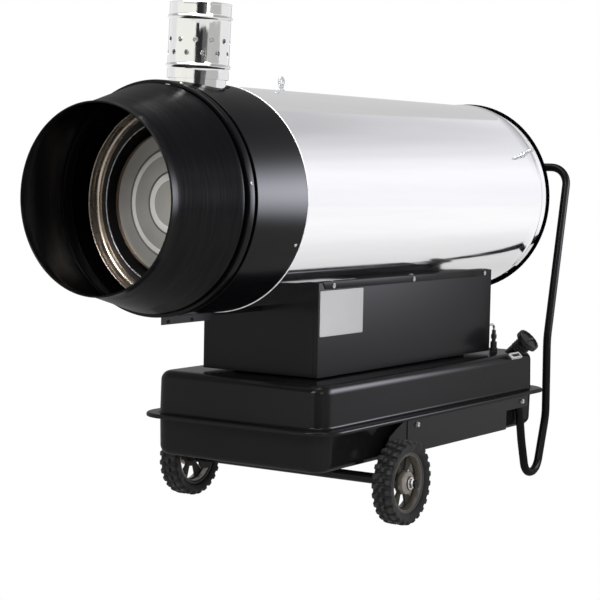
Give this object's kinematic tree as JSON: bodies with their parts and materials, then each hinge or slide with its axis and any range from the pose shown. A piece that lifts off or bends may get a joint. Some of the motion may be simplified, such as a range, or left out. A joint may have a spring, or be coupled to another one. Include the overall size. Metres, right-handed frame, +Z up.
{
  "type": "diesel jet heater",
  "caption": "Indirect-fired diesel space heater: polished barrel casing with cone outlet and flue, on a two-wheeled fuel tank with a tube handle.",
  "frame": {"origin": "centre of the footprint at ground level", "axes": "+Z up, -Y towards the warm air outlet, +X towards the fuel filler side, so the barrel lies along Y"},
  "size_m": [0.6862, 1.7228, 1.1642],
  "materials": {
    "black_paint": "satin black powder coat",
    "mirror_steel": "mirror-polished stainless steel",
    "drum_steel": "heat-tinted stainless steel",
    "chamber_steel": "heat-browned stainless steel",
    "flue_steel": "bright rolled sheet",
    "zinc": "zinc plated",
    "tyre_rubber": "matt with moulded lugs",
    "rim_paint": "warm grey moulded",
    "dark_plastic": "satin black moulded",
    "neck_rubber": "matt black",
    "motor_grey": "grey enamel",
    "lamp_red": "glossy red",
    "aluminium": "die-cast"
  },
  "bodies": {
    "heater": {"outlet_cone": "black_paint", "seam_collar": "black_paint", "front_ring": "black_paint", "joint_band": "mirror_steel", "upper_shell": "mirror_steel", "lower_shell": "mirror_steel", "rear_trim_ring": "black_paint", "rear_guard": "zinc", "heat_exchanger": "drum_steel", "combustion_chamber": "chamber_steel", "flue_pipe": "flue_steel", "blast_tube": "zinc", "burner_body": "aluminium", "fan_motor": "motor_grey", "motor_spider": "black_paint", "cabinet_front": "black_paint", "cabinet_rear": "black_paint", "cabinet_floor": "black_paint", "control_plate": "motor_grey", "pilot_lamp": "lamp_red", "cable_gland": "dark_plastic", "fuel_pump": "aluminium", "ignition_transformer": "dark_plastic", "burner_control_unit": "motor_grey", "tank_upper": "black_paint", "tank_lower": "black_paint", "filler_neck": "neck_rubber", "fuel_gauge": "zinc", "suction_fitting": "dark_plastic", "suction_pipe": "zinc", "drain_plug": "zinc", "axle": "zinc", "handle_tube": "black_paint", "cabinet_packer_front": "neck_rubber", "cabinet_packer_rear": "neck_rubber", "cabinet_side_right": "black_paint", "side_rail_right": "black_paint", "axle_bracket_right": "black_paint", "axle_nut_right": "zinc", "rail_bolt_right": "zinc", "handle_bolt_right": "zinc", "cabinet_side_left": "black_paint", "side_rail_left": "black_paint", "axle_bracket_left": "black_paint", "axle_nut_left": "zinc", "rail_bolt_left": "zinc", "handle_bolt_left": "zinc", "lifting_eye_front": "zinc", "lifting_eye_rear_right": "zinc", "lifting_eye_rear_left": "zinc"},
    "wheel_right": {"wheel_rim_right": "rim_paint", "tyre_right": "tyre_rubber"},
    "wheel_left": {"wheel_rim_left": "rim_paint", "tyre_left": "tyre_rubber"},
    "fan": {"fan_impeller": "dark_plastic"},
    "cap": {"fuel_cap": "dark_plastic"},
    "knob": {"selector_knob": "dark_plastic"},
    "reset": {"reset_button": "lamp_red"}
  },
  "joints": [
    {"name": "wheel_right_spin", "type": "hinge", "parent": "heater", "child": "wheel_right", "pos_m": [0.302, -0.116, 0.0982], "axis": [1, 0, 0], "continuous": true},
    {"name": "wheel_left_spin", "type": "hinge", "parent": "heater", "child": "wheel_left", "pos_m": [-0.302, -0.116, 0.0982], "axis": [1, 0, 0], "continuous": true},
    {"name": "fan_spin", "type": "hinge", "parent": "heater", "child": "fan", "pos_m": [0, 0.5135, 0.742], "axis": [0, 1, 0], "continuous": true},
    {"name": "cap_turn", "type": "hinge", "parent": "heater", "child": "cap", "pos_m": [0.205, 0.6485, 0.3344], "axis": [0.7314, 0, 0.682], "range_deg": [0, 90]},
    {"name": "knob_turn", "type": "hinge", "parent": "heater", "child": "knob", "pos_m": [-0.06, 0.5842, 0.42], "axis": [0, 1, 0], "range_deg": [-45, 45]},
    {"name": "reset_press", "type": "slide", "parent": "heater", "child": "reset", "axis": [0, -1, 0], "range_m": [0, 0.003], "stiffness_N_per_m": 300}
  ]
}
